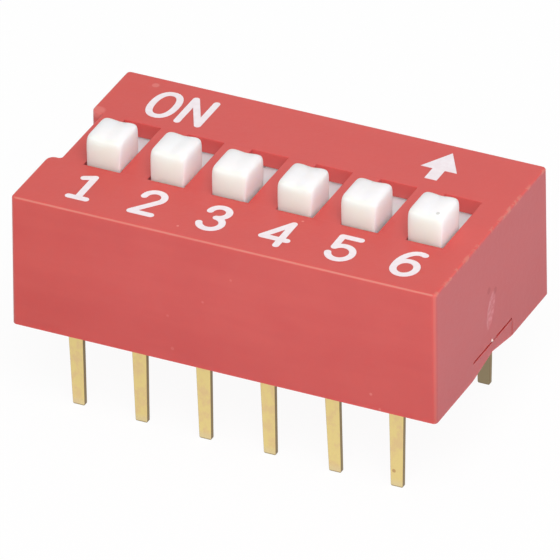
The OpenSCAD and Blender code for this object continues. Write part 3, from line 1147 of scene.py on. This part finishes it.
def ink_stroke(pen, points, shift):
    """A flat line of ink with round ends along the points, or a closed ring."""
    closed = math.dist(points[0], points[-1]) < NEAR
    path = points[:-1] if closed else points
    line = bpy.data.curves.new("line", "CURVE")
    line.dimensions = "3D"
    line.twist_mode = "Z_UP"
    line.bevel_mode = "OBJECT"
    line.bevel_object = pen
    line.use_fill_caps = True
    spline = line.splines.new("POLY")
    spline.points.add(len(path) - 1)
    for point, (x, y) in zip(spline.points, path):
        point.co = (x + shift[0], y + shift[1], INK_Z, 1)
    spline.use_cyclic_u = closed
    stroke = bpy.data.objects.new("stroke", line)
    bpy.context.scene.collection.objects.link(stroke)
    activate(stroke)
    bpy.ops.object.convert(target="MESH")
    stroke = bpy.context.object
    pick(stroke, "FACE", anything)
    bpy.ops.mesh.remove_doubles(threshold=MERGE)
    bpy.ops.mesh.normals_make_consistent(inside=False)
    done()
    ends = [] if closed else [points[0], points[-1]]
    discs = [rod(PEN / 2, INK_T, (x + shift[0], y + shift[1], INK_Z), sides=32) for x, y in ends]
    return [stroke, *discs]


def arrow():
    """A plain solid arrow that points to the back: a stem and a three-cornered head."""
    low = (ARROW_X - STEM_W / 2, ARROW_Y - STEM_FRONT, INK_Z - INK_T / 2)
    high = (ARROW_X + STEM_W / 2, ARROW_Y + STEM_BACK, INK_Z + INK_T / 2)
    stem = block(low, high, "stem")
    middle = (ARROW_X, ARROW_Y + ARROWHEAD_BACK, INK_Z)
    head = rod(ARROWHEAD_R, INK_T, middle, sides=3, name="head")
    return add(head, stem)


def print_piece():
    """All the print: ON, the numbers and an arrow."""
    pen = pen_outline()
    digits = [(str(i + 1), slot_x(i) + DIGIT_SHIFT, DIGIT_Y) for i in range(COUNT)]
    signs = []
    for sign, x, y in LETTERS + digits:
        parts = [part for points in SIGNS[sign] for part in ink_stroke(pen, points, (x, y))]
        signs.append(add(parts[0], *parts[1:]) if len(parts) > 1 else parts[0])
    signs.append(arrow())
    bpy.data.objects.remove(pen)
    activate(*signs)
    bpy.ops.object.join()
    return signs[0]


# ---------------------------------------------------------------- assembly


def copies(first):
    """One copy of a piece with its own mesh for each switch, and the first one removed."""
    made = []
    for i in range(COUNT):
        copy = first.copy()
        copy.data = first.data.copy()
        bpy.context.scene.collection.objects.link(copy)
        copy.location.x = pin_x(i) - pin_x(0)
        made.append(copy)
    bpy.data.objects.remove(first)
    return made


def add_housing():
    """The cover and the base."""
    cover_red = red_plastic("cover_red", COVER_TONES)
    base_red = red_plastic("base_red", BASE_TONES)
    finish_piece(cover_piece(), "cover_moulding", "housing", "housing_red", cover_red, "cover")
    finish_piece(base_piece(), "base_moulding", "housing", "base_red", base_red, "base")


def add_sliders():
    """The six sliders, each with its own play."""
    nylon = white_nylon()
    for i, slider in enumerate(copies(slider_piece())):
        right, back, lower = PLAY[i]
        pick(slider, "VERT", lambda p: p.z > HEIGHT + PLAY_FROM)
        bpy.ops.transform.translate(value=(0, 0, -lower))
        done()
        slider.location += Vector((right, back, 0))
        name = f"slider_{i + 1}"
        finish_piece(slider, name, f"switch_{i + 1}", "knob_white", nylon, f"actuator_{i + 1}")


def add_contacts():
    """The gold pieces: the two rows of terminals, and the springs as they are in the frame."""
    gold = gold_plate()
    for i, strip in enumerate(copies(terminal_piece(0, -1))):
        lean(strip, *LEANS[i])
        node = f"front_terminal_{i + 1}"
        finish_piece(strip, f"front_pin_{i + 1}", "housing", "pin_gold", gold, node)
    for i, strip in enumerate(copies(terminal_piece(0, 1))):
        node = f"rear_terminal_{i + 1}"
        finish_piece(strip, f"rear_pin_{i + 1}", "housing", "pin_gold", gold, node)
    for i in range(COUNT):
        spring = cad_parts[f"bridge_contact_{i + 1}"].data
        spring.materials.clear()
        spring.materials.append(gold)


def add_print():
    """The white signs on the cover."""
    finish_piece(print_piece(), "printed_signs", "housing", "print_white", print_ink())


# ---------------------------------------------------------------- floor, light and camera

# The floor's size in metres, its grey, and how much a plain glow covers it where it is seen
FLOOR_SIZE = 4.0
FLOOR_GREY = (0.9, 0.9, 0.9)
FLOOR_GLOW = 0.94
# The surround's colour, and its strength as light
WHITE = (1, 1, 1)
WORLD_LIGHT = 0.4

# The camera's angles in degrees, its places in metres, and its lens in millimetres
CAMERA_AZIMUTH = 25.213
CAMERA_ELEVATION = 31.432
CAMERA_ROLL = -0.512
CAMERA_DISTANCE = 0.41506
CAMERA_TARGET = (0.000135, -0.000334, 0.001411)
CAMERA_CLIP = 0.01
CAMERA_LENS = 742
CAMERA_SENSOR = 36

# The name of each lamp, its azimuth and elevation in degrees, its distance and size in metres,
# and its power in watts
LAMPS = [
    ("key", 31, 51, 0.6, 0.45, 3.05),
    ("fill", 95, 18, 0.6, 0.5, 0.45),
]


def outward(azimuth, elevation):
    """Unit direction away from the object. Azimuth 0 is in front of it, 90 to its right."""
    a, e = math.radians(azimuth), math.radians(elevation)
    return Vector((math.sin(a) * math.cos(e), -math.cos(a) * math.cos(e), math.sin(e)))


def add_floor():
    """A pale floor at the pins' tips that keeps the soft shadow, and is clear from below."""
    pick_none()
    bpy.ops.mesh.primitive_plane_add(size=FLOOR_SIZE, location=(0, 0, PIN_END * MM))
    floor = placed("floor")
    paint = Paint("pale_floor")
    matt = paint.node("ShaderNodeBsdfDiffuse", {}, {"Color": FLOOR_GREY})
    glow = paint.node("ShaderNodeEmission", {}, {"Color": WHITE, "Strength": 1.0})
    both = paint.node("ShaderNodeMixShader", {}, {0: paint.seen() * FLOOR_GLOW, 1: matt, 2: glow})
    under = paint.node("ShaderNodeNewGeometry", {}, {}, "Backfacing")
    clear = paint.node("ShaderNodeBsdfTransparent", {}, {})
    open_below = paint.node("ShaderNodeMixShader", {}, {0: under, 1: both, 2: clear})
    paint.node("ShaderNodeOutputMaterial", {}, {"Surface": open_below})
    floor.data.materials.append(paint.material)


def add_world():
    """White where it is seen, and dimmer as light."""
    world = bpy.data.worlds.new("studio")
    bpy.context.scene.world = world
    paint = Paint("studio", world)
    level = paint.seen() * (1 - WORLD_LIGHT) + WORLD_LIGHT
    back = paint.node("ShaderNodeBackground", {}, {"Color": WHITE, "Strength": level})
    paint.node("ShaderNodeOutputWorld", {}, {"Surface": back})


def add_camera():
    """A long lens from the front, a little to the right and above."""
    data = bpy.data.cameras.new("camera")
    data.sensor_width = CAMERA_SENSOR
    data.lens = CAMERA_LENS
    data.clip_start = CAMERA_CLIP
    camera = bpy.data.objects.new("camera", data)
    bpy.context.scene.collection.objects.link(camera)
    away = outward(CAMERA_AZIMUTH, CAMERA_ELEVATION)
    camera.location = Vector(CAMERA_TARGET) + away * CAMERA_DISTANCE
    camera.rotation_mode = "QUATERNION"
    roll = Quaternion((0, 0, 1), math.radians(CAMERA_ROLL))
    camera.rotation_quaternion = (-away).to_track_quat("-Z", "Y") @ roll
    bpy.context.scene.camera = camera


def add_lamp(name, azimuth, elevation, distance, size, power):
    """A large soft lamp aimed at the object."""
    data = bpy.data.lights.new(name, "AREA")
    data.shape = "DISK"
    data.size = size
    data.energy = power
    lamp = bpy.data.objects.new(name, data)
    bpy.context.scene.collection.objects.link(lamp)
    lamp.location = outward(azimuth, elevation) * distance
    lamp.rotation_euler = (-lamp.location).to_track_quat("-Z", "Y").to_euler()


# ---------------------------------------------------------------- scene

add_housing()
add_sliders()
add_contacts()
add_print()
add_floor()
add_world()
add_camera()
for lamp in LAMPS:
    add_lamp(*lamp)
bpy.context.scene.view_settings.view_transform = "Standard"
